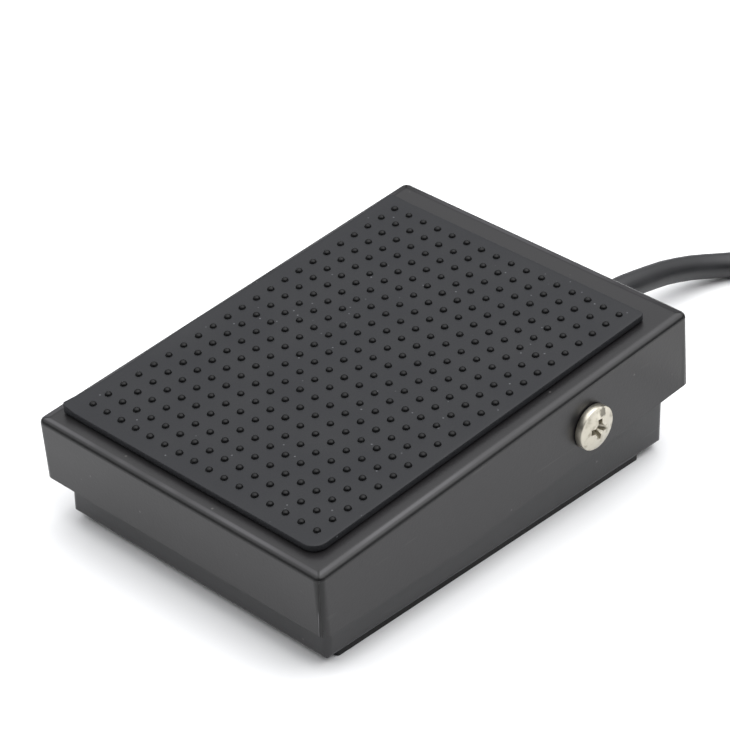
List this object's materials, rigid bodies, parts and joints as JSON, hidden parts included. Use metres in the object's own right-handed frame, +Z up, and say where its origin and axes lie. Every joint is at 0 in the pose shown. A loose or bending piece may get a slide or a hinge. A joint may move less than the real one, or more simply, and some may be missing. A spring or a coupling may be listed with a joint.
{
  "type": "foot switch",
  "caption": "Foot switch with a sloping rubber-padded pedal cover that rocks on two side screws over a base tray and works a microswitch, with its cord.",
  "frame": {"origin": "middle of the switch, on the surface that it stands on", "axes": "+Z up, +Y from the low front to the high rear where the cord leaves, +X to the right seen from the front"},
  "size_m": [0.1411, 0.2008, 0.0337],
  "materials": {
    "cover_paint": "satin black paint",
    "tray_paint": "satin black paint",
    "pad_rubber": "matt, moulded with grip studs",
    "mat_rubber": "matt",
    "nickel_screw": "nickel plated",
    "zinc_steel": "zinc plated",
    "spring_steel": "bright spring wire",
    "nylon": "natural nylon",
    "switch_plastic": "moulded phenolic",
    "plunger_plastic": "moulded",
    "contact_brass": "bright",
    "blade_copper": "beryllium copper",
    "red_pvc": "PVC insulation",
    "blue_pvc": "PVC insulation",
    "yellow_pvc": "PVC insulation",
    "cord_pvc": "satin PVC jacket",
    "bushing_rubber": "matt"
  },
  "bodies": {
    "base": {"base_tray": "tray_paint", "foot_mat": "mat_rubber", "pivot_screws": "nickel_screw", "pivot_washers": "nylon", "pivot_nuts": "nickel_screw", "return_spring": "spring_steel", "switch_bracket": "zinc_steel", "bracket_screws": "zinc_steel", "switch_case": "switch_plastic", "switch_lid": "switch_plastic", "switch_screws": "zinc_steel", "switch_nuts": "zinc_steel", "com_terminal": "contact_brass", "no_terminal": "contact_brass", "nc_terminal": "contact_brass", "wire_receptacles": "contact_brass", "com_wire": "red_pvc", "no_wire": "blue_pvc", "nc_wire": "yellow_pvc", "inner_sheath": "cord_pvc", "cord_bushing": "bushing_rubber", "cord_clamp": "zinc_steel", "clamp_screws": "zinc_steel", "cord": "cord_pvc", "cord_coil": "cord_pvc", "cord_end": "cord_pvc", "cord_cores": "red_pvc"},
    "pedal": {"pedal_cover": "cover_paint", "pedal_pad": "pad_rubber"},
    "plunger": {"switch_plunger": "plunger_plastic"},
    "blade": {"contact_blade": "blade_copper"}
  },
  "joints": [
    {"name": "pedal_hinge", "type": "hinge", "parent": "base", "child": "pedal", "pos_m": [0, 0.02201, 0.02025], "axis": [1, 0, 0], "range_deg": [0, 3], "stiffness_Nm_per_rad": 6, "springref_deg": -3.72, "deforming": ["return_spring"]},
    {"name": "plunger_slide", "type": "slide", "parent": "base", "child": "plunger", "axis": [0, 0, -1], "range_m": [0, 0.00147]},
    {"name": "blade_hinge", "type": "hinge", "parent": "base", "child": "blade", "pos_m": [0, 0.00786, 0.0142], "axis": [1, 0, 0], "range_deg": [0, 1.67]}
  ],
  "couplings": [
    {"joint": "plunger_slide", "follows": "pedal_hinge", "m_per_rad": 0.028},
    {"joint": "blade_hinge", "follows": "pedal_hinge", "ratio": 0.555}
  ]
}
